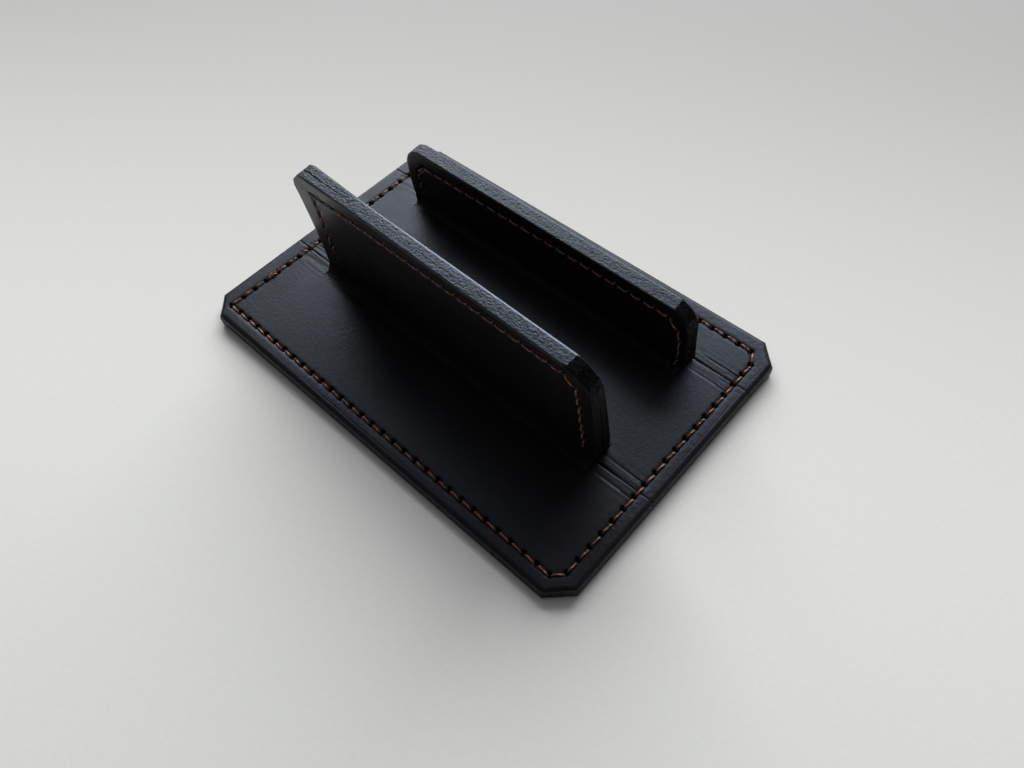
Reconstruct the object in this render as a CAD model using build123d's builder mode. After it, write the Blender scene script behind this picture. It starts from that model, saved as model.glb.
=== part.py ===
from build123d import *
import os
from math import cos, radians, sin, sqrt, tan

# A sewn leather stand for business cards. Three top panels lie side by side on one sole. Each has a
# tab that folds up, and two tabs set back to back and sewn together make a wall: a tall backrest
# and a low lip. Millimetres. +X runs along the walls, +Y from the backrest to the lip, +Z up.
# The origin is the centre of the underside.

# Base
BASE_LENGTH = 110.0
BASE_CORNER_CUT = 4.8
SOLE_THICKNESS = 1.75
PANEL_THICKNESS = 1.75
PANEL_EDGE_ROUNDING = 1.0
SOLE_EDGE_ROUNDING = 0.5

# Walls: the setbacks run from the back and front edges of the base to the walls, the heights run up
# the slope from the top of the base, and both walls lean to the back
BACKREST_SETBACK = 29.4
WALL_SPACING = 30.0
LIP_SETBACK = 15.6
WALL_LENGTH = 81.5
WALL_CORNER_CUT = 4.1
WALL_EDGE_ROUNDING = 0.7
BACKREST_HEIGHT = 33.0
BACKREST_LEAN = 5.6
LIP_HEIGHT = 17.8
LIP_LEAN = 4.9

# Folds and the joints between the panels: each joint lies a little outside its wall's middle plane
FOLD_RADIUS = 2.5
FOLD_LAND = 1.0
FOLD_SLIT = 0.25
BUTT_OFFSET = 1.6
BUTT_GAP = 0.2
CREASE_OFFSET = 2.2
CREASE_WIDTH = 0.5
CREASE_DEPTH = 0.3

# Stitching
SEAM_INSET = 3.5
SEAM_FOOT = 5.0
STITCH_PITCH = 3.38
THREAD_WIDTH = 0.55
THREAD_SPACING = 0.1
HOLE_CLEARANCE = 0.05
GROOVE_CLEARANCE = 0.1

# Levels and places that follow from the sizes
TOP = SOLE_THICKNESS + PANEL_THICKNESS
BASE_WIDTH = BACKREST_SETBACK + WALL_SPACING + LIP_SETBACK
BACKREST_Y = BACKREST_SETBACK - BASE_WIDTH / 2
LIP_Y = BACKREST_Y + WALL_SPACING
BACKREST_JOINT = BACKREST_Y - BUTT_OFFSET
LIP_JOINT = LIP_Y + BUTT_OFFSET
LANE = (THREAD_WIDTH + THREAD_SPACING) / 2
HALF_TURN = radians(45) / 2
LEG_REACH = THREAD_WIDTH / 2 * (cos(HALF_TURN) + sin(HALF_TURN)) + HOLE_CLEARANCE
HOLE_ALONG = 2 * (LANE * sin(HALF_TURN) + LEG_REACH)
HOLE_ACROSS = 2 * (LANE * cos(HALF_TURN) + LEG_REACH)
GROOVE_WIDTH = HOLE_ACROSS + 2 * GROOVE_CLEARANCE
GROOVE_DEPTH = THREAD_WIDTH + GROOVE_CLEARANCE


def inset_cut(cut, inset):
    """Length of a 45 degree corner cut on a line that runs inside the outline."""
    return cut - inset * (2 - sqrt(2))


def base_points(inset):
    """Corners of the base's outline, or of a line that runs inside it, anticlockwise."""
    x = BASE_LENGTH / 2 - inset
    y = BASE_WIDTH / 2 - inset
    cut = inset_cut(BASE_CORNER_CUT, inset)
    back = [(-x, -y + cut), (-x + cut, -y), (x - cut, -y), (x, -y + cut)]
    front = [(x, y - cut), (x - cut, y), (-x + cut, y), (-x, y - cut)]
    return back + front


def wall_seam_points(height):
    """Corners of a wall's seam, up one end, along the top and down the other end."""
    x = WALL_LENGTH / 2 - SEAM_INSET
    top = height - SEAM_INSET
    cut = inset_cut(WALL_CORNER_CUT, SEAM_INSET)
    left = [(-x, SEAM_FOOT), (-x, top - cut), (-x + cut, top)]
    right = [(x - cut, top), (x, top - cut), (x, SEAM_FOOT)]
    return left + right


def wall_plane(seam_y, lean):
    """Plane between a wall's two plies: X along the wall, Y up it and Z to the back."""
    tilt = radians(lean)
    return Plane((0, seam_y, TOP), x_dir=(1, 0, 0), z_dir=(0, -cos(tilt), -sin(tilt)))


BACKREST = wall_plane(BACKREST_Y, BACKREST_LEAN)
LIP = wall_plane(LIP_Y, LIP_LEAN)


def fold_start(wall, lean, side):
    """Where a ply leaves the base: the corner of its middle line and the Y where its fold starts.
    The side is 1 for the ply at the back of a wall and -1 for the ply at its front."""
    tilt = radians(lean)
    half = PANEL_THICKNESS / 2
    corner = wall.from_local_coords(Vector(0, half * (side * sin(tilt) - 1) / cos(tilt), side * half))
    reach = (FOLD_RADIUS + half) * tan(radians(90 + side * lean) / 2)
    return corner, corner.Y - side * reach


def stitch_runs(corners):
    """Straight runs of a seam: both ends and a whole number of stitches near the pitch."""
    ends = [Vector(*corner) for corner in corners]
    runs = []
    for start, end in zip(ends, ends[1:]):
        runs.append((start, end, max(1, round((end - start).length / STITCH_PITCH))))
    return runs


def needle_holes(face, corners, thickness):
    """Holes that the needles make through the leather below a face, square to the seam at each stitch
    and halfway between the two runs at a corner."""
    points = [Vector(*corners[0])]
    for start, end, count in stitch_runs(corners):
        points += [start + (end - start) * ((step + 1) / count) for step in range(count)]
    closed = corners[0] == corners[-1]
    before = [points[-2] if closed else points[0]] + points[:-1]
    after = points[1:] + [points[1] if closed else points[-1]]
    places = []
    for last, point, following in zip(before, points, after):
        heading = Vector(1, 0).get_signed_angle(following - last, Vector(0, 0, 1))
        places.append(Location(point, (0, 0, heading)))
    with BuildPart() as holes:
        with BuildSketch(face.offset(THREAD_WIDTH)):
            with Locations(*places):
                Rectangle(HOLE_ALONG, HOLE_ACROSS)
        extrude(amount=-thickness - 2 * THREAD_WIDTH)
    return holes


def side_plane(face, start, end):
    """Plane that shows a run of stitches from the side: X along the run and Y out of the leather."""
    origin = face.from_local_coords(start)
    along = face.from_local_coords(end) - origin
    return Plane(origin, x_dir=along, z_dir=along.cross(face.z_dir))


def saddle_thread(face, corners, thickness):
    """One thread sewn with two needles: both halves pass through every hole, side by side, and
    take turns over and under the leather, so each face shows an unbroken row of stitches.
    The thread's middle lies in the first hole, where the two halves join."""
    over = THREAD_WIDTH / 2
    under = -thickness - THREAD_WIDTH / 2
    leg_height = thickness + 2 * THREAD_WIDTH
    runs = stitch_runs(corners)
    first_start, first_end = runs[0][:2]
    sewn = 0
    with BuildPart() as thread:
        for start, end, count in runs:
            pitch = (end - start).length / count
            legs = [(step * pitch, -thickness / 2) for step in range(count + 1)]
            for needle, lane in enumerate((-LANE, LANE)):
                levels = [over if (sewn + step + needle) % 2 else under for step in range(count)]
                dashes = [((step + 0.5) * pitch, level) for step, level in enumerate(levels)]
                with BuildSketch(side_plane(face, start, end).offset(lane)):
                    with Locations(*dashes):
                        Rectangle(pitch + THREAD_WIDTH, THREAD_WIDTH)
                    with Locations(*legs):
                        Rectangle(THREAD_WIDTH, leg_height)
            sewn += count
        extrude(amount=THREAD_WIDTH / 2, both=True)
        with BuildSketch(side_plane(face, first_start, first_end)):
            with Locations((0, -thickness / 2)):
                Rectangle(THREAD_WIDTH, leg_height)
        extrude(amount=LANE, both=True)
    return thread


def fold_tab(panel, wall, lean, height, joint_y, side):
    """Cuts the panel free from a fold to its joint, stands its tab up there, and creases it beyond both
    ends. The side is 1 where the panel lies behind the wall and -1 where it lies in front of it."""
    corner, fold_y = fold_start(wall, lean, side)
    land_y = fold_y - side * FOLD_LAND
    tip = wall.from_local_coords(Vector(0, height, side * PANEL_THICKNESS / 2))
    with BuildSketch(Plane.XY.offset(TOP)) as opening:
        with Locations((0, (land_y + joint_y) / 2)):
            Rectangle(WALL_LENGTH + 2 * FOLD_SLIT, abs(land_y - joint_y))
    extrude(opening.sketch, amount=-PANEL_THICKNESS, mode=Mode.SUBTRACT)

    crease_start = WALL_LENGTH / 2 + FOLD_SLIT
    crease_length = BASE_LENGTH / 2 - SEAM_INSET - crease_start
    crease_x = crease_start + crease_length / 2
    crease_y = joint_y - side * CREASE_OFFSET
    with BuildSketch(Plane.XY.offset(TOP)) as creases:
        with Locations((-crease_x, crease_y), (crease_x, crease_y)):
            Rectangle(crease_length, CREASE_WIDTH)
    extrude(creases.sketch, amount=-CREASE_DEPTH, mode=Mode.SUBTRACT)

    with BuildSketch(Plane.YZ) as tab:
        with BuildLine():
            path = [(land_y, corner.Z), (corner.Y, corner.Z), (tip.Y, tip.Z)]
            FilletPolyline(*path, radius=FOLD_RADIUS + PANEL_THICKNESS / 2)
        trace(line_width=PANEL_THICKNESS)
    extrude(tab.sketch, amount=WALL_LENGTH / 2, both=True)

    across = Axis(wall.origin, wall.z_dir)
    chamfer(panel.edges().filter_by(across).group_by(Axis.Z)[-1], WALL_CORNER_CUT)
    grain = panel.faces().filter_by(across).sort_by(across)[-1 if side > 0 else 0]
    fillet(grain.edges().group_by(Axis.Z)[2:], WALL_EDGE_ROUNDING)


base_face = Plane.XY.offset(TOP)
base_seam = base_points(SEAM_INSET)
base_seam.append(base_seam[0])
base_holes = needle_holes(base_face, base_seam, TOP)
backrest_face = BACKREST.offset(PANEL_THICKNESS)
backrest_seam = wall_seam_points(BACKREST_HEIGHT)
backrest_holes = needle_holes(backrest_face, backrest_seam, 2 * PANEL_THICKNESS)
lip_face = LIP.offset(PANEL_THICKNESS)
lip_seam = wall_seam_points(LIP_HEIGHT)
lip_holes = needle_holes(lip_face, lip_seam, 2 * PANEL_THICKNESS)

# Sole, with a groove underneath that sinks the base's stitches
with BuildPart() as sole:
    with BuildSketch():
        Polygon(*base_points(0))
    extrude(amount=SOLE_THICKNESS)
    fillet(sole.faces().sort_by(Axis.Z)[0].edges(), SOLE_EDGE_ROUNDING)
    with BuildSketch():
        Polygon(*base_points(SEAM_INSET - GROOVE_WIDTH / 2))
        Polygon(*base_points(SEAM_INSET + GROOVE_WIDTH / 2), mode=Mode.SUBTRACT)
    extrude(amount=GROOVE_DEPTH, mode=Mode.SUBTRACT)
    add(base_holes.part, mode=Mode.SUBTRACT)

# The top layer before it is cut into panels, with its rounded edge
with BuildPart() as top_layer:
    with BuildSketch(Plane.XY.offset(SOLE_THICKNESS)):
        Polygon(*base_points(0))
    extrude(amount=PANEL_THICKNESS)
    fillet(top_layer.faces().sort_by(Axis.Z)[-1].edges(), PANEL_EDGE_ROUNDING)

# Back panel: the wide apron and the outer ply of the backrest
with BuildPart() as back_panel:
    add(top_layer.part)
    split(bisect_by=Plane.XZ.offset(BUTT_GAP / 2 - BACKREST_JOINT), keep=Keep.TOP)
    fold_tab(back_panel, BACKREST, BACKREST_LEAN, BACKREST_HEIGHT, BACKREST_JOINT, 1)
    add([base_holes.part, backrest_holes.part], mode=Mode.SUBTRACT)

# Channel panel: the floor and the inner plies of both walls
with BuildPart() as channel_panel:
    add(top_layer.part)
    split(bisect_by=Plane.XZ.offset(-BUTT_GAP / 2 - BACKREST_JOINT), keep=Keep.BOTTOM)
    split(bisect_by=Plane.XZ.offset(BUTT_GAP / 2 - LIP_JOINT), keep=Keep.TOP)
    fold_tab(channel_panel, BACKREST, BACKREST_LEAN, BACKREST_HEIGHT, BACKREST_JOINT, -1)
    fold_tab(channel_panel, LIP, LIP_LEAN, LIP_HEIGHT, LIP_JOINT, 1)
    add([base_holes.part, backrest_holes.part, lip_holes.part], mode=Mode.SUBTRACT)

# Front panel: the narrow apron and the outer ply of the lip
with BuildPart() as front_panel:
    add(top_layer.part)
    split(bisect_by=Plane.XZ.offset(-BUTT_GAP / 2 - LIP_JOINT), keep=Keep.BOTTOM)
    fold_tab(front_panel, LIP, LIP_LEAN, LIP_HEIGHT, LIP_JOINT, -1)
    add([base_holes.part, lip_holes.part], mode=Mode.SUBTRACT)

# Threads
base_thread = saddle_thread(base_face, base_seam, TOP - GROOVE_DEPTH)
backrest_thread = saddle_thread(backrest_face, backrest_seam, 2 * PANEL_THICKNESS)
lip_thread = saddle_thread(lip_face, lip_seam, 2 * PANEL_THICKNESS)

sole.part.label = "sole"
back_panel.part.label = "back_panel"
channel_panel.part.label = "channel_panel"
front_panel.part.label = "front_panel"
base_thread.part.label = "base_thread"
backrest_thread.part.label = "backrest_thread"
lip_thread.part.label = "lip_thread"

os.makedirs("parts", exist_ok=True)
export_step(sole.part, "parts/sole.step")
export_step(back_panel.part, "parts/back_panel.step")
export_step(channel_panel.part, "parts/channel_panel.step")
export_step(front_panel.part, "parts/front_panel.step")
export_step(base_thread.part, "parts/base_thread.step")
export_step(backrest_thread.part, "parts/backrest_thread.step")
export_step(lip_thread.part, "parts/lip_thread.step")
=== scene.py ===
import math
import random

import bpy
import numpy as np
from mathutils import Matrix, Quaternion, Vector, noise


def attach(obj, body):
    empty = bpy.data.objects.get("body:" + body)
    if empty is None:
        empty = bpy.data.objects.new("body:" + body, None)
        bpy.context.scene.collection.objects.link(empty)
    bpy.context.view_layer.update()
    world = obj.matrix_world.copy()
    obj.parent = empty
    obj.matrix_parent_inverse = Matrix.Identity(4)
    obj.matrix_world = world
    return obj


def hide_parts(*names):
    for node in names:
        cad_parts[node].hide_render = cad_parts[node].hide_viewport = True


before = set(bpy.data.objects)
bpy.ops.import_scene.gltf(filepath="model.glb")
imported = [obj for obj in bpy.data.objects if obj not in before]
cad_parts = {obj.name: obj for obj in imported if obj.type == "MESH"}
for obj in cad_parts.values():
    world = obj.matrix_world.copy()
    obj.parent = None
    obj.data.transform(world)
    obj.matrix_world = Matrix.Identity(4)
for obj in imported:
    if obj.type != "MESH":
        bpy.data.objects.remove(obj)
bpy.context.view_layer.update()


# Sole: the bottom layer of the base, one flat piece of thick black leather with its corners cut off.
# A groove cut round its underside sinks the stitches. The top panels are glued and sewn onto it.
MM = 0.001
HALF_LENGTH = 55.0 * MM
HALF_WIDTH = 37.5 * MM
CELLS = 69
CELL = 2 * HALF_LENGTH / CELLS
BASE_CUT = 3 * CELL
SOLE_TOP = 1.75 * MM
SOLE_ROUNDING = 0.5 * MM
PLY_EASING = 0.14 * MM
GROOVE_START = 2.75 * MM
GROOVE_WIDTH = 1.5 * MM
GROOVE_DEPTH = 0.65 * MM
FRONT_SKEW = 1.15 * MM
FRONT_START = 27.0 * MM
EDGE_SKIN = 0.3 * MM
SOLE_EDGE_RAW = 0.55
LEATHER_SHARP = math.radians(65)
SNAP = 1e-6


def pick(piece, kind, chosen):
    """Selects the chosen faces or edges of a piece and leaves it in edit mode."""
    bpy.ops.object.mode_set(mode="OBJECT")
    mesh = piece.data
    for parts in (mesh.vertices, mesh.edges, mesh.polygons):
        parts.foreach_set("select", np.zeros(len(parts), bool))
    parts = mesh.polygons if kind == "FACE" else mesh.edges
    parts.foreach_set("select", chosen)
    bpy.context.tool_settings.mesh_select_mode = (False, kind == "EDGE", kind == "FACE")
    bpy.ops.object.mode_set(mode="EDIT")


def corners(piece):
    """Places of a piece's vertices, one row each."""
    bpy.ops.object.mode_set(mode="OBJECT")
    places = np.empty(len(piece.data.vertices) * 3)
    piece.data.vertices.foreach_get("co", places)
    return places.reshape(-1, 3)


def face_middles(piece):
    """Middles and normals of a piece's faces, one row each."""
    bpy.ops.object.mode_set(mode="OBJECT")
    faces = piece.data.polygons
    middles = np.empty(len(faces) * 3)
    normals = np.empty(len(faces) * 3)
    faces.foreach_get("center", middles)
    faces.foreach_get("normal", normals)
    return middles.reshape(-1, 3), normals.reshape(-1, 3)


def edge_ends(piece):
    """Both ends of each edge of a piece."""
    places = corners(piece)
    pairs = np.empty(len(piece.data.edges) * 2, int)
    piece.data.edges.foreach_get("vertices", pairs)
    pairs = pairs.reshape(-1, 2)
    return places[pairs[:, 0]], places[pairs[:, 1]]


def edges_where(piece, test):
    """The edges of a piece with both ends where the test holds."""
    first, last = edge_ends(piece)
    return test(first) & test(last)


def reach_inside(places):
    """Distance of each place inside the base's outline, corner cuts included."""
    x, y = np.abs(places[:, 0]), np.abs(places[:, 1])
    cut = (HALF_LENGTH + HALF_WIDTH - BASE_CUT - x - y) / math.sqrt(2)
    return np.minimum(np.minimum(HALF_LENGTH - x, HALF_WIDTH - y), cut)


def skew_front(places):
    """Draws the base's front edge in towards its left end, where the leather was cut a little askew."""
    share = np.clip((places[:, 1] - FRONT_START) / (HALF_WIDTH - FRONT_START), 0, 1)
    moved = places.copy()
    moved[:, 1] -= FRONT_SKEW * share * (0.5 - places[:, 0] / (2 * HALF_LENGTH))
    return moved


def cut_corners():
    """Cuts the four corners of the base off the sheet that is being edited."""
    for x in (-1, 1):
        for y in (-1, 1):
            bpy.ops.mesh.select_all(action="SELECT")
            start = (x * (HALF_LENGTH - BASE_CUT), y * HALF_WIDTH, 0)
            bpy.ops.mesh.bisect(plane_co=start, plane_no=(x, y, 0), clear_outer=True, threshold=SNAP)


def round_edges(piece, chosen, rounding, steps):
    """Rounds the chosen edges of a piece."""
    pick(piece, "EDGE", chosen)
    bpy.ops.mesh.bevel(offset=rounding, segments=steps, profile=0.5, affect="EDGES")


def add_node(tree, kind, values, **settings):
    """Adds a node to a node tree. Each value is the constant of one of its inputs, or the output that feeds it."""
    node = tree.nodes.new(kind)
    for name, setting in settings.items():
        setattr(node, name, setting)
    for name, value in values.items():
        if isinstance(value, bpy.types.NodeSocket):
            tree.links.new(value, node.inputs[name])
        else:
            node.inputs[name].default_value = value
    return node


def speckle(tree, place, scale, detail, roughness=0.5):
    """Random values of a noise pattern at a place."""
    values = {"Vector": place, "Scale": scale, "Detail": detail, "Roughness": roughness}
    return add_node(tree, "ShaderNodeTexNoise", values).outputs["Fac"]


def ramp(tree, source, stops):
    """Colours that follow a source from stop to stop."""
    shade = add_node(tree, "ShaderNodeValToRGB", {"Fac": source})
    elements = shade.color_ramp.elements
    for element, (position, colour) in zip(elements, (stops[0], stops[-1])):
        element.position = position
        element.color = (*colour, 1)
    for position, colour in stops[1:-1]:
        elements.new(position).color = (*colour, 1)
    return shade.outputs["Color"]


def levels(tree, source, stops):
    """Levels that follow a source from stop to stop."""
    return ramp(tree, source, [(position, (level, level, level)) for position, level in stops])


def mix(tree, factor, first, second):
    """A mix of two colours or levels by a factor."""
    blend = add_node(tree, "ShaderNodeMix", {"Factor": factor, "A": first, "B": second}, data_type="RGBA")
    return blend.outputs["Result"]


def black_leather():
    """Smooth black leather with a satin face, fine pores, rubbed patches and raw fibre at its cut edges."""
    leather = bpy.data.materials.new("black_leather")
    leather.use_nodes = True
    tree = leather.node_tree
    surface = tree.nodes["Principled BSDF"]
    # Painted reflection colour: the specular tint turns the leather's sheen blue, standing for sky light from the
    # window.
    surface.inputs["Specular Tint"].default_value = (0.62, 0.76, 1.0, 1.0)
    place = add_node(tree, "ShaderNodeTexCoord", {}).outputs["Object"]
    drawn_out = add_node(tree, "ShaderNodeMapping", {"Vector": place, "Scale": (0.6, 1.0, 1.0)}).outputs["Vector"]
    cut = add_node(tree, "ShaderNodeAttribute", {}, attribute_name="cut_edge").outputs["Fac"]
    burnished = add_node(tree, "ShaderNodeAttribute", {}, attribute_name="burnished").outputs["Fac"]

    patches = speckle(tree, place, scale=55.0, detail=4.0, roughness=0.55)
    face = ramp(tree, patches, [(0.3, (0.0066, 0.0056, 0.0051)), (0.75, (0.0138, 0.0115, 0.0104))])
    fibre = speckle(tree, drawn_out, scale=2100.0, detail=2.5, roughness=0.6)
    raw = ramp(tree, fibre, [(0.4, (0.0016, 0.0016, 0.0018)), (0.62, (0.0105, 0.0105, 0.0115))])
    tree.links.new(mix(tree, cut, face, raw), surface.inputs["Base Color"])

    shine = levels(tree, cut, [(0.0, 0.22), (0.35, 0.47), (0.52, 0.14), (1.0, 0.05)])
    polish = add_node(tree, "ShaderNodeMath", {0: burnished, 1: 1.6, 2: shine}, operation="MULTIPLY_ADD")
    tree.links.new(polish.outputs["Value"], surface.inputs["Specular IOR Level"])
    smudges = speckle(tree, place, scale=160.0, detail=5.0, roughness=0.6)
    satin = levels(tree, smudges, [(0.3, 0.31), (0.72, 0.45)])
    dull = levels(tree, fibre, [(0.4, 0.72), (0.6, 0.3)])
    tree.links.new(mix(tree, cut, satin, dull), surface.inputs["Roughness"])

    pores = add_node(tree, "ShaderNodeTexVoronoi", {"Vector": place, "Scale": 2100.0}).outputs["Distance"]
    wrinkles = speckle(tree, place, scale=900.0, detail=6.0, roughness=0.62)
    grain = add_node(tree, "ShaderNodeMath", {0: pores, 1: 0.35, 2: wrinkles}, operation="MULTIPLY_ADD")
    furrows = add_node(tree, "ShaderNodeMath", {0: fibre, 1: 8.0}, operation="MULTIPLY")
    rough = levels(tree, cut, [(0.0, 0.0), (0.35, 0.42), (0.55, 0.1), (1.0, 0.12)])
    relief = mix(tree, rough, grain.outputs["Value"], furrows.outputs["Value"])
    bump = add_node(tree, "ShaderNodeBump", {"Strength": 0.5, "Distance": 0.08 * MM, "Height": relief})
    tree.links.new(bump.outputs["Normal"], surface.inputs["Normal"])
    return leather


def finish_leather(piece, node, raw, burnished):
    """Marks the raw edges and the burnished rims of a leather piece, gives it its material, slot and body, and hides
    the CAD part that it replaces.
    """
    bpy.ops.object.mode_set(mode="OBJECT")
    for name, values in (("cut_edge", raw), ("burnished", burnished)):
        mark = piece.data.attributes.new(name, "FLOAT", "POINT")
        mark.data.foreach_set("value", values.astype(np.float32))
    bpy.ops.object.shade_smooth_by_angle(angle=LEATHER_SHARP)
    piece.data.materials.clear()
    piece.data.materials.append(leather)
    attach(piece, "root")
    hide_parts(node)


leather = black_leather()
bpy.ops.object.select_all(action="DESELECT")
bpy.ops.mesh.primitive_plane_add(size=1)
sole = bpy.context.object
sole.name = "sole_leather"
bpy.ops.object.mode_set(mode="EDIT")
bpy.ops.transform.resize(value=(2 * HALF_LENGTH, 2 * HALF_WIDTH, 1))
cut_corners()
bpy.ops.mesh.select_all(action="SELECT")
bpy.ops.mesh.inset(thickness=GROOVE_START)
bpy.ops.mesh.inset(thickness=GROOVE_WIDTH)
inside = reach_inside(face_middles(sole)[0])
pick(sole, "FACE", (inside > GROOVE_START) & (inside < GROOVE_START + GROOVE_WIDTH))
bpy.ops.mesh.extrude_region_move(TRANSFORM_OT_translate={"value": (0, 0, GROOVE_DEPTH)})
pick(sole, "EDGE", edges_where(sole, lambda places: reach_inside(places) < SNAP))
bpy.ops.mesh.extrude_edges_move(TRANSFORM_OT_translate={"value": (0, 0, SOLE_TOP)})
bpy.ops.mesh.edge_face_add()
bpy.ops.mesh.select_all(action="SELECT")
bpy.ops.mesh.normals_make_consistent(inside=False)
sole_foot = edges_where(sole, lambda places: (reach_inside(places) < SNAP) & (places[:, 2] < SNAP))
round_edges(sole, sole_foot, SOLE_ROUNDING, 3)
sole_rim = edges_where(sole, lambda places: (reach_inside(places) < SNAP) & (places[:, 2] > SOLE_TOP - SNAP))
round_edges(sole, sole_rim, PLY_EASING, 2)
sole_places = corners(sole)
sole.data.vertices.foreach_set("co", skew_front(sole_places).ravel())
sole_raw = np.where(reach_inside(sole_places) < EDGE_SKIN, SOLE_EDGE_RAW, 0.0)
finish_leather(sole, "sole", sole_raw, np.zeros(len(sole_places)))


# Back panel: the wide top panel behind the backrest, cut flat from black leather, with a tab that folds up.
# The tab is the outer ply of the backrest. It is glued to the sole and sewn through round its edge.
PANEL = 1.75 * MM
TOP = SOLE_TOP + PANEL
GRAIN = TOP - 0.1 * MM
PANEL_ROUNDING = 1.3 * MM
WALL_HALF = 25.5 * CELL
WALL_ROUNDING = 0.4 * MM
CORNER_EASING = 0.46 * MM
ROUND_STEPS = 5
FINE_CUTS = 7
FACING_UP = 0.9
UPRIGHT = 0.1
FOLD_SLIT = 0.06 * MM
FOLD_ROWS = 16
FINE_ROW = 0.26 * MM
FINE_START = 1.6 * MM
BUTT_GAP = 0.1 * MM
FREE_RISE = 3.0 * MM
END_RISE = 1.2 * MM
PARTING = 20.0 * MM

STITCH = 3.36 * MM
SEAM_BAND = 2.5 * MM
WALL_SEAM_BAND = 1.9 * MM
SEAM_DEPTH = 0.2 * MM
SEAM_WIDTH = 0.6 * MM
SEAM_END = 51.6 * MM
PIT_RADIUS = 0.66 * MM
WALL_PIT_RADIUS = 0.52 * MM
PIT_DEPTH = 0.85 * MM
PIT_LEAN = 0.2 * MM
PIT_STEEPNESS = 1.3
EDGE_LINE = 1.46 * MM
EDGE_LINE_DEPTH = 0.05 * MM
EDGE_LINE_WIDTH = 0.11 * MM
BORDER_WRINKLE = 0.03 * MM

CREASE_REACH = 5.0 * MM
CREASE_START = 1.2 * MM
CREASE_END = 0.6 * MM
CREASE_STEP = 0.06 * MM
CREASE_STEP_WIDTH = 0.1 * MM
SCORE_DEPTH = 0.15 * MM
SCORE_WIDTH = 0.17 * MM
LEFT_CREASE = 0.3
WRINKLE_REACH = 3.4 * MM
WRINKLE_DEPTH = 0.15
WRINKLE_LOSS = 0.08
JOINT_DEPTH = 0.1 * MM
JOINT_WIDTH = 0.22 * MM
JOINT_OPENING = 0.17 * MM
JOINT_END = SEAM_END + 0.5 * MM
FRAY = 0.11 * MM
FRAY_WIDTH = 0.5 * MM

FOLD_WRINKLE = 0.1 * MM
FOLD_MARGIN = 1.5 * MM
FOLD_FACE = 0.1 * MM ** 2
SQUARE_FOOT = 4.0 * MM
FURROW = 0.19 * MM
FURROW_SPAN = (0.5 * MM, 0.5 * MM, 0.26 * MM)
CUT_SKIN = 0.05 * MM
CUT_FADE = 0.2 * MM
BASE_EDGE_RAW = 0.6
BASE_EDGE_FADE = 0.5 * MM
RUB_START = -24.0 * MM
RUB_SPAN = 20.0 * MM
RIM_DEPTH = 0.36 * MM
WORN = 0.08
WORN_START = 1.6 * MM
WORN_END_FADE = 4.0 * MM
NAP = 0.2
NAP_WITH_SHINE = 0.15
NAP_RUBBED_OFF = 0.25
BACKREST = {"foot": -8.1 * MM, "joint": -9.7 * MM, "lean": 5.6, "height": 33.0 * MM, "cut": 4.1 * MM,
            "skew": 0.05 * MM, "twist": 0.022, "bow": 0.35 * MM, "gap": 0.24 * MM,
            "longer": (0.4 * MM, 0.4 * MM), "higher": 0.4 * MM, "shine": 1.0}
BACKREST_SEAM = [(-35.8, 8.0), (-34.6, 28.5), (34.3, 29.8), (36.95, 27.3), (37.55, 3.4)]
BASE_SEAM = [(-50.4, -33.7), (49.2, -34.0), (51.4, -31.6), (51.3, 30.0), (49.4, 33.0), (-48.4, 33.2), (-50.1, 31.0),
             (-50.1, -10.0), (-50.4, -33.7)]


def fold_of(wall, way, radius, crease, splay, swell):
    """A fold that stands a tab up as one ply of a wall. The way is 1 where the tab lies on the +Y side of its panel,
    the crease is the distance of the scored line from the panel's joint, the splay is how far the foot stands out, and
    the swell is how much thicker the ply is at its left end."""
    tilt = math.radians(wall["lean"])
    half = PANEL / 2
    angle = math.pi / 2 + way * tilt
    neutral = radius + half
    rise = half * (way * math.sin(tilt) - 1) / math.cos(tilt)
    corner = wall["foot"] - rise * math.sin(tilt) - way * half * math.cos(tilt)
    line = corner - way * neutral * math.tan(angle / 2)
    end_y = line + way * (radius + PANEL) * math.sin(angle)
    end_z = radius - (radius + PANEL) * math.cos(angle)
    end_height = end_z * math.cos(tilt) - (end_y - wall["foot"]) * math.sin(tilt)
    lift = neutral * angle - end_height
    return {"wall": wall, "way": way, "radius": radius, "crease": crease, "splay": splay, "swell": swell,
            "angle": angle, "neutral": neutral, "line": line, "lift": lift}


def outline_of(wall):
    """The end, the three corner cuts and the top of a wall, each as its angle and how far it lies inside the corner."""
    eased = wall["cut"] * math.sin(math.pi / 8) + CORNER_EASING
    return [(0.0, 0.0), (math.pi / 8, eased), (math.pi / 4, wall["cut"] / math.sqrt(2)), (3 * math.pi / 8, eased),
            (math.pi / 2, 0.0)]


def on_tab(fold, points):
    """Places on a tab before it is folded, from points along the wall and up it in millimetres."""
    return [Vector((x * MM, fold["line"] + fold["way"] * (height * MM + fold["lift"]), TOP)) for x, height in points]


def holes_along(ends):
    """Needle holes along a seam, at both ends of every stitch."""
    holes = [ends[0]]
    for start, end in zip(ends, ends[1:]):
        count = max(1, round((end - start).length / STITCH))
        holes += [start.lerp(end, step / count) for step in range(1, count + 1)]
    return holes


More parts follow.
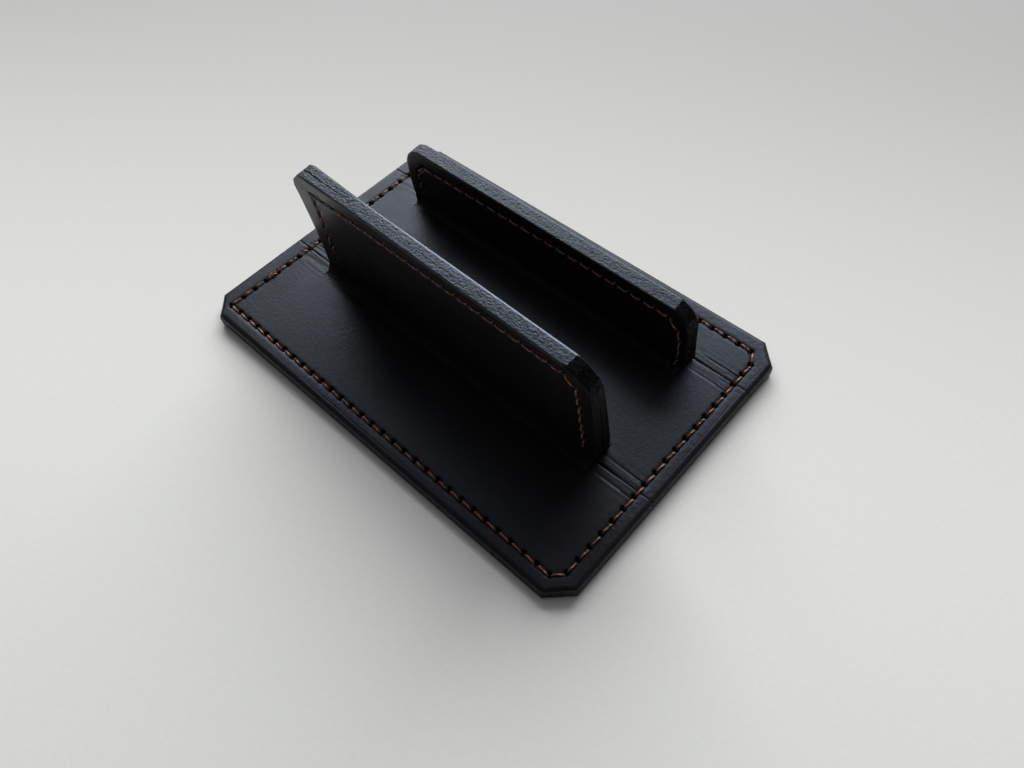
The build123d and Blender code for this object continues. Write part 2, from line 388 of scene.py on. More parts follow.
def stand_up(places, fold):
    """Folds the tab of a flat panel up round its fold line. The wall has taken a twist and a bow, and its two plies
    splay apart towards the foot and at the top of the left end."""
    x, y, z = places.T.copy()
    wall, way = fold["wall"], fold["way"]
    beyond = way * (y - fold["line"])
    tab = (beyond > 0) & (np.abs(x) < WALL_HALF + FOLD_SLIT / 2)
    turn = np.clip(beyond / fold["neutral"], 0, fold["angle"])
    straight = np.maximum(beyond - fold["neutral"] * fold["angle"], 0)
    radius = fold["radius"] + TOP - z
    along = radius * np.sin(turn) + straight * math.cos(fold["angle"])
    rise = fold["radius"] - radius * np.cos(turn) + straight * math.sin(fold["angle"])
    share = np.clip(rise / wall["height"], 0, 1)
    twist = (wall["skew"] - wall["twist"] * rise) * x / WALL_HALF
    bow = wall["bow"] * 4 * share * (1 - share)
    parted = share * np.clip((-x - PARTING) / (WALL_HALF - PARTING), 0, 1)
    thick = np.clip(1 - (TOP - z) / PANEL, 0, 1)
    foot = fold["splay"] * (1 - share) ** 1.5 * (0.35 + 0.65 * thick)
    splay = way * (foot + parted * (wall["gap"] + fold["swell"] * thick))
    risen = np.clip(rise / FREE_RISE, 0, 1)
    higher = wall["higher"] * share * (0.5 - x / (2 * WALL_HALF))
    longer = np.where(x < 0, *wall["longer"]) * x / WALL_HALF
    x[tab] += (longer * np.clip(rise / END_RISE, 0, 1))[tab]
    y[tab] = (fold["line"] + way * along + (twist + bow - splay) * risen)[tab]
    z[tab] = (TOP + rise + higher)[tab]
    return np.column_stack((x, y, z))


def pull_out(piece, start, steps):
    """Draws the edges of a flat panel that lie at a start out along Y, step by step."""
    pick(piece, "EDGE", start)
    for step in steps:
        bpy.ops.mesh.extrude_edges_move(TRANSFORM_OT_translate={"value": (0, step, 0)})


def on_tabs(places, folds):
    """Whether each place of a flat panel lies on one of its tabs."""
    tab = np.zeros(len(places), bool)
    for fold in folds:
        beyond = fold["way"] * (places[:, 1] - fold["line"])
        tab |= (beyond > SNAP) & (np.abs(places[:, 0]) < WALL_HALF + FOLD_SLIT / 2)
    return tab


def ears_and_tab(piece, fold):
    """Adds a tab at a fold line, and the two ears beside it that meet the next panel."""
    way, line, wall = fold["way"], fold["line"], fold["wall"]
    slit = WALL_HALF + FOLD_SLIT
    for x in (-slit, slit):
        bpy.ops.object.mode_set(mode="EDIT")
        bpy.ops.mesh.select_all(action="SELECT")
        bpy.ops.mesh.bisect(plane_co=(x, 0, 0), plane_no=(1, 0, 0), threshold=SNAP)
    for x in (wall["cut"] - WALL_HALF, WALL_HALF - wall["cut"]):
        bpy.ops.mesh.select_all(action="SELECT")
        bpy.ops.mesh.bisect(plane_co=(x, 0, 0), plane_no=(1, 0, 0), threshold=SNAP)
    ear = way * (wall["joint"] - line) - BUTT_GAP / 2
    ear_rows = round(ear / FINE_ROW)

    def at_line(places):
        return np.abs(places[:, 1] - line) < SNAP

    pull_out(piece, edges_where(piece, lambda places: at_line(places) & (np.abs(places[:, 0]) > slit - SNAP)),
             [way * ear / ear_rows] * ear_rows)
    bend = fold["neutral"] * fold["angle"]
    bottom = wall["height"] + fold["lift"] - bend - wall["cut"]
    rows = round(bottom / CELL)
    top_row = wall["cut"] - 2 * CELL
    steps = [bend / FOLD_ROWS] * FOLD_ROWS + [bottom / rows] * rows + [CELL, CELL] + [top_row] * (top_row > SNAP)
    pull_out(piece, edges_where(piece, lambda places: at_line(places) & (np.abs(places[:, 0]) < WALL_HALF + SNAP)),
             [way * step for step in steps])
    top = line + way * (wall["height"] + fold["lift"])
    for x in (-1, 1):
        for angle, depth in outline_of(wall)[1:-1]:
            pick(piece, "FACE", on_tabs(face_middles(piece)[0], [fold]))
            start = (x * (WALL_HALF - depth / math.cos(angle)), top, 0)
            out = (x * math.cos(angle), way * math.sin(angle), 0)
            bpy.ops.mesh.bisect(plane_co=start, plane_no=out, clear_outer=True, threshold=SNAP)


def give_thickness(piece):
    """Makes a flat panel as thick as the leather, with its grain side up."""
    bpy.ops.mesh.select_all(action="SELECT")
    bpy.ops.mesh.remove_doubles(threshold=SNAP)
    bpy.ops.mesh.normals_make_consistent(inside=False)
    if face_middles(piece)[1][0, 2] < 0:
        bpy.ops.object.mode_set(mode="EDIT")
        bpy.ops.mesh.flip_normals()
    bpy.ops.object.mode_set(mode="OBJECT")
    thickness = piece.modifiers.new("thickness", "SOLIDIFY")
    thickness.thickness = PANEL
    thickness.offset = -1
    bpy.ops.object.modifier_apply(modifier=thickness.name)


def tab_edges(places, fold):
    """Distances of each place inside the end, the corner cuts and the top of a flat tab, one row each."""
    end = WALL_HALF - np.abs(places[:, 0])
    top = fold["wall"]["height"] + fold["lift"] - fold["way"] * (places[:, 1] - fold["line"])
    outline = outline_of(fold["wall"])
    return np.array([end * math.cos(angle) + top * math.sin(angle) - depth for angle, depth in outline])


def ease_edges(piece, folds):
    """Rounds the base's edge and the free edges of the tabs, and divides the raw edges of the tabs finely."""
    rim = edges_where(piece, lambda places: (np.abs(reach_inside(places)) < SNAP) & (places[:, 2] > TOP - SNAP)
                      & ~on_tabs(places, folds))
    round_edges(piece, rim, PANEL_ROUNDING, ROUND_STEPS)
    for fold in folds:
        def free(places):
            return (np.abs(tab_edges(places, fold).min(axis=0)) < SNAP) & on_tabs(places, [fold])

        grain = edges_where(piece, lambda places: free(places) & (places[:, 2] > TOP - SNAP))
        round_edges(piece, grain, WALL_ROUNDING, ROUND_STEPS)
        middles, normals = face_middles(piece)
        pick(piece, "FACE", free(middles) & (np.abs(normals[:, 2]) < UPRIGHT))
        bpy.ops.mesh.subdivide(number_cuts=FINE_CUTS)


def grain_faces(middles, normals):
    """Whether each face of a flat panel lies on its grain side."""
    return (normals[:, 2] > FACING_UP) & (middles[:, 2] > GRAIN)


def from_run(places, start, end):
    """Distance of each place from a straight run of a seam."""
    run = np.array(end - start)[:2]
    offset = places[:, :2] - np.array(start)[:2]
    along = np.clip(offset @ run / (run @ run), 0, 1)
    return np.hypot(*(offset - along[:, None] * run).T)


def ripple(places, spans, start):
    """Smooth random heights from -1 to 1 at each place, with waves of their own span in millimetres along X and Y."""
    stretched = places[:, :2] / (np.array(spans) * MM)
    return np.array([noise.noise(Vector((x + start, y, start))) for x, y in stretched])


def press_seams(piece, folds, seams):
    """Divides the leather finely beside its seams, then sinks a line along each and a pit at each needle hole.
    Each seam comes with the side that its pits lean to, and with whether it runs on a tab."""
    middles, normals = face_middles(piece)
    near = np.zeros(len(middles), bool)
    for holes, lean, tab in seams:
        here = on_tabs(middles, folds) == tab
        for start, end in zip(holes, holes[1:]):
            near |= here & (from_run(middles, start, end) < (WALL_SEAM_BAND if tab else SEAM_BAND))
    pick(piece, "FACE", near & grain_faces(middles, normals))
    bpy.ops.mesh.subdivide(number_cuts=FINE_CUTS)
    places = corners(piece)
    grain = places[:, 2] > TOP - SNAP
    sink = np.zeros(len(places))
    for holes, lean, tab in seams:
        here = on_tabs(places, folds) == tab
        line = np.full(len(places), 1.0)
        pit = np.zeros(len(places))
        for start, end in zip(holes, holes[1:]):
            line = np.minimum(line, from_run(places, start, end))
        for before, hole, after in zip(holes[:1] + holes, holes, holes[1:] + holes[-1:]):
            along = (after - before).normalized()
            middle = hole + Vector((-along.y, along.x, 0)) * lean * PIT_LEAN
            away = np.hypot(*(places[:, :2] - np.array(middle)[:2]).T) / (WALL_PIT_RADIUS if tab else PIT_RADIUS)
            pit = np.maximum(pit, np.clip(PIT_STEEPNESS * (1 - away ** 2), 0, 1))
        valley = SEAM_DEPTH * np.exp(-((line / SEAM_WIDTH) ** 2))
        sink += np.where(here, valley + PIT_DEPTH * pit, 0)
    inside = reach_inside(places)
    edge_line = EDGE_LINE_DEPTH * np.exp(-(((inside - EDGE_LINE) / EDGE_LINE_WIDTH) ** 2))
    edge_line[grain] *= np.clip(0.25 + 1.6 * ripple(places[grain], spans=(24.0, 24.0), start=5.1), 0, 1)
    border = np.clip((EDGE_LINE + SEAM_BAND - inside) / MM, 0, 1) * (0.6 + 0.4 * places[:, 0] / HALF_LENGTH)
    border[grain] *= ripple(places[grain], spans=(0.8, 0.8), start=7.3)
    sink += np.where(on_tabs(places, folds), 0, edge_line + BORDER_WRINKLE * border)
    places[grain, 2] -= sink[grain]
    piece.data.vertices.foreach_set("co", places.ravel())


def press_creases(piece, folds):
    """Presses the scored line beside each joint, opens and frays the joint, and wrinkles the leather near it."""
    places = corners(piece)
    across = np.abs(places[:, 0])
    for fold in folds:
        way = fold["way"]
        away = way * (fold["wall"]["joint"] - places[:, 1])
        ear = ~on_tabs(places, folds) & (across > WALL_HALF + FOLD_SLIT / 2) & (np.abs(away) < CREASE_REACH)
        grain = ear & (places[:, 2] > TOP - EDGE_SKIN)
        started = np.clip((across - WALL_HALF - CREASE_START) / MM, 0, 1)
        stopped = np.clip((SEAM_END - across) / CREASE_END, 0, 1)
        faint = np.where(places[:, 0] < 0, LEFT_CREASE, 1.0)
        step = CREASE_STEP / (1 + np.exp((away - fold["crease"]) / CREASE_STEP_WIDTH))
        score = SCORE_DEPTH * np.exp(-(((away - fold["crease"]) / SCORE_WIDTH) ** 2))
        wrinkle = np.zeros(len(places))
        wrinkle[grain] = ripple(places[grain], spans=(7.0, 0.75), start=3.7)
        wrinkle *= (WRINKLE_DEPTH - WRINKLE_LOSS * faint) * MM * np.exp(-((away / WRINKLE_REACH) ** 2)) * stopped
        edge = JOINT_DEPTH * np.exp(-((away / JOINT_WIDTH) ** 2))
        sink = faint * (step + score) * started * stopped + wrinkle + edge
        opened = np.clip((JOINT_END - across) / (SEAM_END - WALL_HALF), 0, 1)
        fray = np.zeros(len(places))
        fray[ear] = ripple(places[ear] * (1, 0, 0), spans=(0.9, 1.0), start=1.3 + way)
        places[grain, 2] -= sink[grain]
        pulled = way * (JOINT_OPENING + FRAY * fray) * faint * opened * np.exp(-((away / FRAY_WIDTH) ** 2))
        places[ear, 1] -= pulled[ear]
    piece.data.vertices.foreach_set("co", places.ravel())


def wrinkle_folds(piece, folds):
    """Divides the grain side of each fold finely, and draws fine wrinkles along it."""
    for fold in folds:
        bend = fold["neutral"] * fold["angle"]
        middles, normals = face_middles(piece)
        areas = np.empty(len(middles))
        piece.data.polygons.foreach_get("area", areas)
        beyond = fold["way"] * (middles[:, 1] - fold["line"])
        near = (beyond > -FOLD_MARGIN) & (beyond < bend + MM) & (np.abs(middles[:, 0]) < WALL_HALF - MM)
        pick(piece, "FACE", near & grain_faces(middles, normals) & (areas > FOLD_FACE))
        bpy.ops.mesh.subdivide(number_cuts=2 if fold["wall"] is BACKREST else 1)
        places = corners(piece)
        beyond = fold["way"] * (places[:, 1] - fold["line"])
        begun = np.clip((beyond + FOLD_MARGIN) / (2 * MM), 0, 1)
        band = begun * np.clip((bend + FOLD_MARGIN - beyond) / (2.5 * MM), 0, 1)
        grain = (places[:, 2] > TOP - SNAP) & (band > 0) & (np.abs(places[:, 0]) < WALL_HALF - 2 * MM)
        coarse = ripple(places[grain], spans=(9.0, 0.62), start=6.4)
        fine = ripple(places[grain], spans=(5.0, 0.36), start=2.9)
        patchy = np.clip(0.6 + ripple(places[grain], spans=(16.0, 5.0), start=8.2), 0.1, 1)
        places[grain, 2] += FOLD_WRINKLE * (coarse + 0.6 * fine) * patchy * band[grain]
        piece.data.vertices.foreach_set("co", places.ravel())


def rough_cut(places, fold):
    """Pits the raw edge of a flat tab. Beside the fold the end of the tab stays square."""
    edges = tab_edges(places, fold)
    tab = on_tabs(places, [fold])
    depth = TOP - places[:, 2]
    beyond = fold["way"] * (places[:, 1] - fold["line"])
    rim = tab & (edges[0] < WALL_ROUNDING + SNAP) & (depth < WALL_ROUNDING + SNAP)
    places[rim, 2] = TOP - depth[rim] * np.clip(beyond[rim] / SQUARE_FOOT, 0, 1)
    raw = tab & (edges.min(axis=0) < CUT_SKIN)
    angles = np.array(outline_of(fold["wall"]))[edges[:, raw].argmin(axis=0), 0]
    outward = np.column_stack((np.sign(places[raw, 0]) * np.cos(angles), fold["way"] * np.sin(angles)))
    pit = np.array([noise.noise(Vector(place)) for place in places[raw] / FURROW_SPAN])
    glued = (places[raw, 2] - SOLE_TOP) / PANEL
    sink = FURROW * np.clip(pit - 0.04, 0, 1) * np.clip(1.3 - 1.3 * glued, 0.1, 0.75)
    places[raw, :2] -= outward * sink[:, None]


def fold_panel(piece, folds):
    """Folds the tabs of a finished flat panel, and gives back how raw and how burnished each of its vertices is.
    The folds are worn dull, and the inner rim of the backrest is rubbed bright by the cards."""
    places = corners(piece)
    depth = TOP - places[:, 2]
    base_edge = BASE_EDGE_RAW * np.clip(1 - reach_inside(places) / BASE_EDGE_FADE, 0, 1)
    raw = np.where(~on_tabs(places, folds) & (depth > EDGE_SKIN), base_edge, 0)
    burnished = np.zeros(len(places))
    for fold in folds:
        wall, way = fold["wall"], fold["way"]
        edges = tab_edges(places, fold)
        rim = np.where(on_tabs(places, [fold]), edges.min(axis=0), 1.0)
        side = edges.argmin(axis=0)
        top = (side == len(edges) - 1) | ((side > 0) & (places[:, 0] < 0))
        rubbed = np.clip((places[:, 0] - RUB_START) / RUB_SPAN, 0, 1)
        glossy = np.maximum(np.clip(1.5 - depth / RIM_DEPTH, 0, 1), 0.2 * np.clip(1.1 - depth / PANEL, 0, 1))
        polish = wall["shine"] * (way < 0) * rubbed * top * (rim < EDGE_SKIN) * glossy
        burnished = np.maximum(burnished, polish)
        nap = NAP + NAP_WITH_SHINE * wall["shine"] - NAP_RUBBED_OFF * polish
        raw = np.maximum(raw, np.where(top, nap, 1.0) * np.clip(1.4 - rim / CUT_FADE, 0, 1))
        beyond = way * (places[:, 1] - fold["line"])
        bend = fold["neutral"] * fold["angle"]
        worn = np.clip((beyond + WORN_START) / MM, 0, 1) * np.clip((bend + MM - beyond) / (2 * MM), 0, 1)
        worn *= np.clip((WALL_HALF - np.abs(places[:, 0])) / WORN_END_FADE, 0, 1) * (depth < EDGE_SKIN)
        burnished -= WORN * worn
        rough_cut(places, fold)
    base = ~on_tabs(places, folds)
    places[base] = skew_front(places[base])
    for fold in folds:
        places = stand_up(places, fold)
    piece.data.vertices.foreach_set("co", places.ravel())
    piece.data.update()
    return raw, burnished


def flat_panel(name, low, high):
    """A flat sheet of leather as long as the base, from one Y to another."""
    bpy.ops.object.select_all(action="DESELECT")
    bpy.ops.mesh.primitive_grid_add(x_subdivisions=CELLS, y_subdivisions=round((high - low) / CELL), size=1)
    piece = bpy.context.object
    piece.name = name
    bpy.ops.object.mode_set(mode="EDIT")
    bpy.ops.transform.resize(value=(2 * HALF_LENGTH, high - low, 1))
    bpy.ops.transform.translate(value=(0, (low + high) / 2, TOP))
    return piece


base_seam = holes_along([Vector((x * MM, y * MM, TOP)) for x, y in BASE_SEAM])
back_fold = fold_of(BACKREST, 1, radius=3.0 * MM, crease=2.1 * MM, splay=0.6 * MM, swell=0.14 * MM)
back_rows = int((back_fold["line"] + HALF_WIDTH - FINE_START) / CELL)
back_rest = back_fold["line"] + HALF_WIDTH - back_rows * CELL
back_steps = round(back_rest / FINE_ROW)
back_panel = flat_panel("back_panel_leather", -HALF_WIDTH, -HALF_WIDTH + back_rows * CELL)
cut_corners()
pull_out(back_panel, edges_where(back_panel, lambda places: places[:, 1] > -HALF_WIDTH + back_rows * CELL - SNAP),
         [back_rest / back_steps] * back_steps)
ears_and_tab(back_panel, back_fold)
give_thickness(back_panel)
ease_edges(back_panel, [back_fold])
back_holes = holes_along(on_tab(back_fold, BACKREST_SEAM))
press_seams(back_panel, [back_fold], [(base_seam, 1, False), (back_holes, 0, True)])
press_creases(back_panel, [back_fold])
wrinkle_folds(back_panel, [back_fold])
finish_leather(back_panel, "back_panel", *fold_panel(back_panel, [back_fold]))


# Channel panel: the top panel that the cards stand on, cut flat from black leather with a tab at each side.
# Its tabs fold up as the inner plies of the backrest and of the lip, so it is a trough.
LIP = {"foot": 21.9 * MM, "joint": 23.55 * MM, "lean": 4.9, "height": 17.8 * MM, "cut": 2 * CELL,
       "skew": 0.28 * MM, "twist": 0.012, "bow": -0.4 * MM, "gap": 0.0,
       "longer": (1.3 * MM, 0.2 * MM), "higher": 0.0, "shine": 0.2}
LIP_SEAM = [(-36.9, 5.6), (-36.7, 11.8), (-34.8, 14.2), (35.4, 14.9), (38.0, 12.4), (38.8, 9.4), (38.8, 2.4)]
LIP_LAST_STITCH = [(38.7, -1.0)]
channel_back_fold = fold_of(BACKREST, -1, radius=2.0 * MM, crease=2.1 * MM, splay=1.1 * MM, swell=0.34 * MM)
channel_lip_fold = fold_of(LIP, 1, radius=2.8 * MM, crease=2.8 * MM, splay=0.7 * MM, swell=0.0)
channel_folds = [channel_back_fold, channel_lip_fold]
channel_panel = flat_panel("channel_panel_leather", channel_back_fold["line"], channel_lip_fold["line"])
ears_and_tab(channel_panel, channel_back_fold)
ears_and_tab(channel_panel, channel_lip_fold)
give_thickness(channel_panel)
ease_edges(channel_panel, channel_folds)
channel_back_holes = holes_along(on_tab(channel_back_fold, BACKREST_SEAM))
channel_lip_holes = holes_along(on_tab(channel_lip_fold, LIP_SEAM + LIP_LAST_STITCH))
channel_seams = [(base_seam, 1, False), (channel_back_holes, 0, True), (channel_lip_holes, 0, True)]
press_seams(channel_panel, channel_folds, channel_seams)
press_creases(channel_panel, channel_folds)
wrinkle_folds(channel_panel, channel_folds)
finish_leather(channel_panel, "channel_panel", *fold_panel(channel_panel, channel_folds))


# Front panel: the narrow top panel in front of the lip, cut flat from black leather.
# Its tab folds up as the outer ply of the lip. It is glued to the sole and sewn through round its edge.
front_fold = fold_of(LIP, -1, radius=1.4 * MM, crease=1.95 * MM, splay=0.7 * MM, swell=0.0)
front_rows = int((HALF_WIDTH - front_fold["line"] - FINE_START) / CELL)
front_rest = HALF_WIDTH - front_rows * CELL - front_fold["line"]
front_steps = round(front_rest / FINE_ROW)
front_panel = flat_panel("front_panel_leather", HALF_WIDTH - front_rows * CELL, HALF_WIDTH)
cut_corners()
pull_out(front_panel, edges_where(front_panel, lambda places: places[:, 1] < HALF_WIDTH - front_rows * CELL + SNAP),
         [-front_rest / front_steps] * front_steps)
ears_and_tab(front_panel, front_fold)
give_thickness(front_panel)
ease_edges(front_panel, [front_fold])
front_holes = holes_along(on_tab(front_fold, LIP_SEAM))
press_seams(front_panel, [front_fold], [(base_seam, 1, False), (front_holes, 0, True)])
press_creases(front_panel, [front_fold])
wrinkle_folds(front_panel, [front_fold])
finish_leather(front_panel, "front_panel", *fold_panel(front_panel, [front_fold]))


# Backrest thread: waxed brown thread of three twisted strands, saddle stitched round the free edges of the backrest.
# It joins the two plies, and each stitch dips into a needle hole at both ends.
THREAD = 0.43 * MM
DASH_RINGS = 11
DASH_PATH = [(0.12, -0.62), (0.145, -0.3), (0.18, -0.05), (0.24, 0.08), (0.35, 0.13), (0.5, 0.14),
             (0.65, 0.13), (0.76, 0.08), (0.82, -0.05), (0.855, -0.3), (0.88, -0.62)]
LOBE_SIZES = (0.53, 0.44)
THREAD_RANGE = (0.94, 1.06)
STITCH_WANDER = 0.04
STITCH_SLANT = 0.11 * MM
STRAND_TURN = 0.62
THREAD_SHARP = math.radians(70)


def brown_thread():
    """Waxed thread: brown fibres twisted into strands, darker between them and paler where the wax is rubbed."""
    thread = bpy.data.materials.new("brown_thread")
    thread.use_nodes = True
    tree = thread.node_tree
    surface = tree.nodes["Principled BSDF"]
    surface.inputs["Roughness"].default_value = 0.5
    place = add_node(tree, "ShaderNodeTexCoord", {}).outputs["Object"]
    fibres = speckle(tree, place, scale=2400.0, detail=4.0)
    tone = ramp(tree, fibres, [(0.3, (0.1, 0.036, 0.022)), (0.7, (0.34, 0.16, 0.11))])
    tree.links.new(tone, surface.inputs["Base Color"])
    bump = add_node(tree, "ShaderNodeBump", {"Strength": 0.5, "Distance": 0.04 * MM, "Height": fibres})
    tree.links.new(bump.outputs["Normal"], surface.inputs["Normal"])
    return thread


def model_dash():
    """One stitch, a short twist of three strands that runs along X from 0 to 1 and dips at both ends."""
    bpy.ops.object.select_all(action="DESELECT")
    bpy.ops.mesh.primitive_cylinder_add(vertices=6, radius=0.5, depth=1, rotation=(0, math.pi / 2, 0))
    dash = bpy.context.object
    bpy.ops.object.transform_apply(location=False, rotation=True, scale=False)
    first, last = edge_ends(dash)
    pick(dash, "EDGE", np.abs(first[:, 0] - last[:, 0]) > 0.5)
    bpy.ops.mesh.subdivide(number_cuts=DASH_RINGS - 2)
    return dash


def sew(name, rows, node):
    """Lays a copy of the stitch between every two holes of each row, and joins them into one thread."""
    draw = random.Random(len(name))
    dash = model_dash()
    shape = corners(dash)
    ring = np.rint((shape[:, 0] + 0.5) * (DASH_RINGS - 1)).astype(int)
    around = np.arctan2(shape[:, 2], shape[:, 1])
    lobe = np.rint(around / (math.pi / 3)).astype(int) % 2
    path = np.array(DASH_PATH)
    stitches = []
    for holes, out, surface_of in rows:
        for start, end in zip(holes, holes[1:]):
            along = (end - start).normalized()
            across = Vector((-along.y, along.x, 0))
            phase = draw.uniform(0, 2 * math.pi)
            turn = around + phase + ring * STRAND_TURN
            size = THREAD * np.where(lobe == 0, *LOBE_SIZES) * draw.uniform(*THREAD_RANGE)
            u = path[ring, 0]
            wander = draw.uniform(-STITCH_WANDER, STITCH_WANDER) * MM
            side = size * np.cos(turn) + STITCH_SLANT * np.cos(u * math.pi) + wander
            up = size * np.sin(turn) + path[ring, 1] * MM
            flat = np.outer(1 - u, np.array(start)) + np.outer(u, np.array(end)) + np.outer(side, np.array(across))
            flat[:, 2] += up * out
            copy = dash.copy()
            copy.data = dash.data.copy()
            copy.data.vertices.foreach_set("co", surface_of(flat).ravel())
            bpy.context.collection.objects.link(copy)
            stitches.append(copy)
    bpy.data.objects.remove(dash)
    bpy.ops.object.select_all(action="DESELECT")
    for stitch in stitches:
        stitch.select_set(True)
    bpy.context.view_layer.objects.active = stitches[0]
    bpy.ops.object.join()
    thread = bpy.context.object
    thread.name = name
    bpy.ops.object.mode_set(mode="EDIT")
    bpy.ops.mesh.select_all(action="SELECT")
    bpy.ops.mesh.normals_make_consistent(inside=False)
    bpy.ops.object.mode_set(mode="OBJECT")
    bpy.ops.object.shade_smooth_by_angle(angle=THREAD_SHARP)
    thread.data.materials.clear()
    thread.data.materials.append(waxed_thread)
    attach(thread, "root")
    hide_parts(node)


waxed_thread = brown_thread()
sew("backrest_stitches", [(back_holes, 1, lambda flat: stand_up(flat, back_fold)),
                          (channel_back_holes, 1, lambda flat: stand_up(flat, channel_back_fold))], "backrest_thread")


# Lip thread: the same thread, saddle stitched round the free edges of the lip, through both of its plies.
# On the inner face its last stitch runs down from the foot of the lip onto the floor of the channel.
sew("lip_stitches", [(channel_lip_holes, 1, lambda flat: stand_up(flat, channel_lip_fold)),
                     (front_holes, 1, lambda flat: stand_up(flat, front_fold))], "lip_thread")


# Base thread: the same thread, saddle stitched round the edge of the base through the top panels and the sole.
# Underneath it lies in the sole's groove. Where the seam starts and ends, it is sewn over once more.
TACK_PLACE = -20.5 * MM
TACK_REACH = 3.5 * MM
TACK_SIDE = -50 * MM
TACK_LAYERS = ((0.36, 0.3, 0.24), (-0.3, 0.6, 0.2))
under_seam = [Vector((hole.x, hole.y, GROOVE_DEPTH)) for hole in base_seam]
tack_holes = [hole for hole in base_seam if hole.x < TACK_SIDE and abs(hole.y - TACK_PLACE) < TACK_REACH]
base_rows = [(base_seam, 1, skew_front), (under_seam, -1, skew_front)]
for offset in TACK_LAYERS:
    base_rows.append(([hole + Vector(offset) * MM for hole in tack_holes], 1, skew_front))
sew("base_stitches", base_rows, "base_thread")


# Camera: stands behind the stand and above it, as in the photograph.
# Its place, its lens and its angles come from the outline of the base and from the stitch holes.
CAMERA_PLACE = (83.77 * MM, -70.99 * MM, 145.35 * MM)
CAMERA_ANGLES = (46.98, 56.56, -5.55)
CAMERA_LENS = 27.73
camera_data = bpy.data.cameras.new("camera")
camera_data.lens = CAMERA_LENS
camera_data.sensor_width = 36.0
camera_data.clip_start = 0.001
camera = bpy.data.objects.new("camera", camera_data)
bpy.context.collection.objects.link(camera)
azimuth, elevation, roll = (math.radians(angle) for angle in CAMERA_ANGLES)
flat_back = Vector((math.sin(azimuth), -math.cos(azimuth), 0))
back = flat_back * math.cos(elevation) + Vector((0, 0, math.sin(elevation)))
level = Vector((math.cos(azimuth), math.sin(azimuth), 0))
upright = back.cross(level)
right = level * math.cos(roll) + upright * math.sin(roll)
above = upright * math.cos(roll) - level * math.sin(roll)
turned = Matrix((right, above, back)).transposed().to_4x4()
camera.matrix_world = Matrix.Translation(CAMERA_PLACE) @ turned
bpy.context.scene.camera = camera


# Floor: a plain pale table top with a fine grain. Its colour is painted shade: it darkens towards the window, where
# more light falls, so that the table looks almost even. A long way off, the camera sees it fade into the backdrop.
TABLE_SIDE = 3.0
TABLE_DARKENS = (-0.5, 0.87, 0.0)
BACKDROP = (0.62, 0.625, 0.61, 1)
bpy.ops.object.select_all(action="DESELECT")
bpy.ops.mesh.primitive_plane_add(size=TABLE_SIDE)
floor = bpy.context.object
floor.name = "floor"
paper = bpy.data.materials.new("pale_table")
paper.use_nodes = True
table = paper.node_tree
table_top = table.nodes["Principled BSDF"]
table_top.inputs["Roughness"].default_value = 0.75
table_place = add_node(table, "ShaderNodeTexCoord", {}).outputs["Object"]
table_grain = speckle(table, table_place, scale=900.0, detail=2.0)
table_tone = ramp(table, table_grain, [(0.0, (0.82, 0.825, 0.79)), (1.0, (0.875, 0.88, 0.84))])
# Painted shade: the table's colour darkens towards the window, against the stronger light there.
table_far = add_node(table, "ShaderNodeVectorMath", {0: table_place, 1: TABLE_DARKENS}, operation="DOT_PRODUCT")
table_span = {"Value": table_far.outputs["Value"], "From Min": -0.06, "From Max": 0.17, "To Min": 1.0, "To Max": 0.46}
table_fall = add_node(table, "ShaderNodeMapRange", table_span, interpolation_type="SMOOTHSTEP").outputs["Result"]
table_shade = add_node(table, "ShaderNodeVectorMath", {0: table_tone, "Scale": table_fall}, operation="SCALE")
table.links.new(table_shade.outputs["Vector"], table_top.inputs["Base Color"])
table_reach = add_node(table, "ShaderNodeVectorMath", {0: table_place}, operation="LENGTH")
table_span = {"Value": table_reach.outputs["Value"], "From Min": 0.22, "From Max": 0.7}
table_fade = add_node(table, "ShaderNodeMapRange", table_span, interpolation_type="SMOOTHSTEP").outputs["Result"]
table_seen = add_node(table, "ShaderNodeLightPath", {}).outputs["Is Camera Ray"]
table_mask = add_node(table, "ShaderNodeMath", {0: table_fade, 1: table_seen}, operation="MULTIPLY").outputs["Value"]
table_haze = add_node(table, "ShaderNodeEmission", {"Color": BACKDROP}).outputs["Emission"]
table_both = add_node(table, "ShaderNodeMixShader", {"Fac": table_mask, 1: table_top.outputs["BSDF"], 2: table_haze})
table.links.new(table_both.outputs["Shader"], table.nodes["Material Output"].inputs["Surface"])
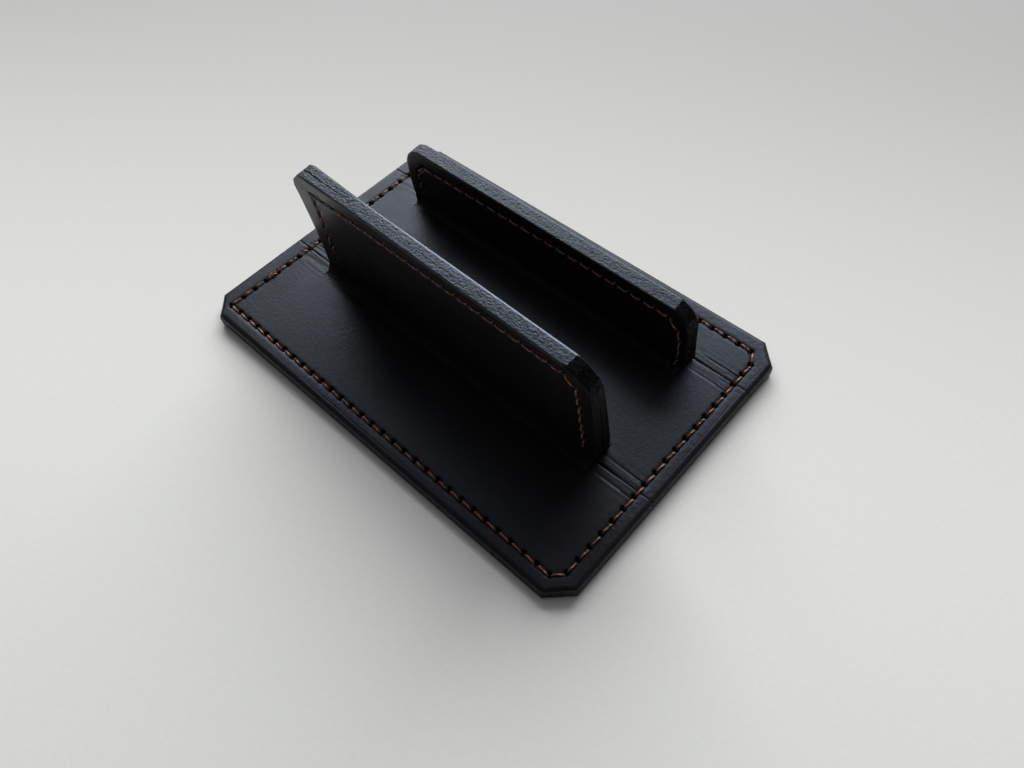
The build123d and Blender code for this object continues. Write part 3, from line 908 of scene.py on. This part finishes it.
floor.data.materials.append(paper)


# Light: a large soft window behind the stand on its left, and a room that is pale on that side and dim on the other.
# The camera sees the room as a plain pale backdrop.
WINDOW_PLACE = Vector((-0.55, 0.75, 0.61))
WINDOW_SIZE = (1.35, 0.85)
WINDOW_ROLL = math.radians(-6)
WINDOW_POWER = 22.0
WINDOW_COLOUR = (0.98, 0.985, 1.0)
ROOM_PALE_SIDE = (-0.42, 0.72, 0.55)
ROOM_STRENGTH = 0.3
pane = bpy.data.lights.new("window", "AREA")
pane.shape = "RECTANGLE"
pane.size, pane.size_y = WINDOW_SIZE
pane.energy = WINDOW_POWER
pane.color = WINDOW_COLOUR
window = bpy.data.objects.new("window", pane)
window.location = WINDOW_PLACE
facing = (-WINDOW_PLACE).to_track_quat("-Z", "Y")
window.rotation_euler = (facing @ Quaternion((0, 0, 1), WINDOW_ROLL)).to_euler()
bpy.context.collection.objects.link(window)
world = bpy.data.worlds.new("room")
bpy.context.scene.world = world
world.use_nodes = True
room = world.node_tree
room_place = add_node(room, "ShaderNodeTexCoord", {}).outputs["Generated"]
room_side = add_node(room, "ShaderNodeVectorMath", {0: room_place, 1: ROOM_PALE_SIDE}, operation="DOT_PRODUCT")
room_share = add_node(room, "ShaderNodeMapRange", {"Value": room_side.outputs["Value"], "From Min": -1.0})
room_tone = ramp(room, room_share.outputs["Result"], [(0.25, (0.045, 0.037, 0.026)), (0.95, (0.93, 0.96, 1.0))])
room_light = room.nodes["Background"]
room_light.inputs["Strength"].default_value = ROOM_STRENGTH
room.links.new(room_tone, room_light.inputs["Color"])
backdrop = add_node(room, "ShaderNodeBackground", {"Color": BACKDROP}).outputs["Background"]
room_seen = add_node(room, "ShaderNodeLightPath", {}).outputs["Is Camera Ray"]
room_both = add_node(room, "ShaderNodeMixShader", {"Fac": room_seen, 1: room_light.outputs["Background"], 2: backdrop})
room.links.new(room_both.outputs["Shader"], room.nodes["World Output"].inputs["Surface"])
bpy.context.scene.view_settings.view_transform = "Standard"
